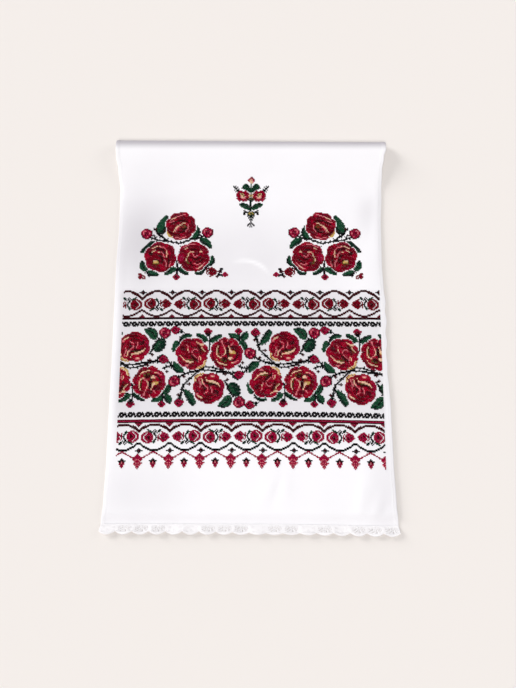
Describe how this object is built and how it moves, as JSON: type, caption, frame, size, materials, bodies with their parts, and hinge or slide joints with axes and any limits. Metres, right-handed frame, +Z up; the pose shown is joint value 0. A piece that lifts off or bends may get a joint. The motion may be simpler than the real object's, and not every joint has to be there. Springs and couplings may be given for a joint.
{
  "type": "rushnyk ritual towel",
  "caption": "Long white ritual towel folded once and laid flat, its embroidered front end up: cross-stitch roses, borders and bouquets over a scalloped lace edge",
  "frame": {"origin": "on the surface the towel rests on, at the centre of its footprint", "axes": "+X to the towel's right seen from above, +Y along its length towards the fold, +Z up"},
  "size_m": [0.4026, 0.576, 0.0126],
  "materials": {
    "towel_cloth": "plain weave, bleached white, matt",
    "lace": "white cotton lace, matt",
    "thread_red": "stranded cotton, dyed, soft sheen",
    "thread_bright_red": "stranded cotton, dyed, soft sheen",
    "thread_maroon": "stranded cotton, dyed, soft sheen",
    "thread_rose_pink": "stranded cotton, dyed, soft sheen",
    "thread_cream": "stranded cotton, dyed, soft sheen",
    "thread_ochre": "stranded cotton, dyed, soft sheen",
    "thread_green": "stranded cotton, dyed, soft sheen",
    "thread_dark_green": "stranded cotton, dyed, soft sheen",
    "thread_black": "stranded cotton, dyed, soft sheen",
    "thread_crimson": "stranded cotton, dyed, soft sheen"
  },
  "bodies": {
    "root": {"towel_cloth": "towel_cloth", "lace_edging": "lace"}
  },
  "joints": []
}
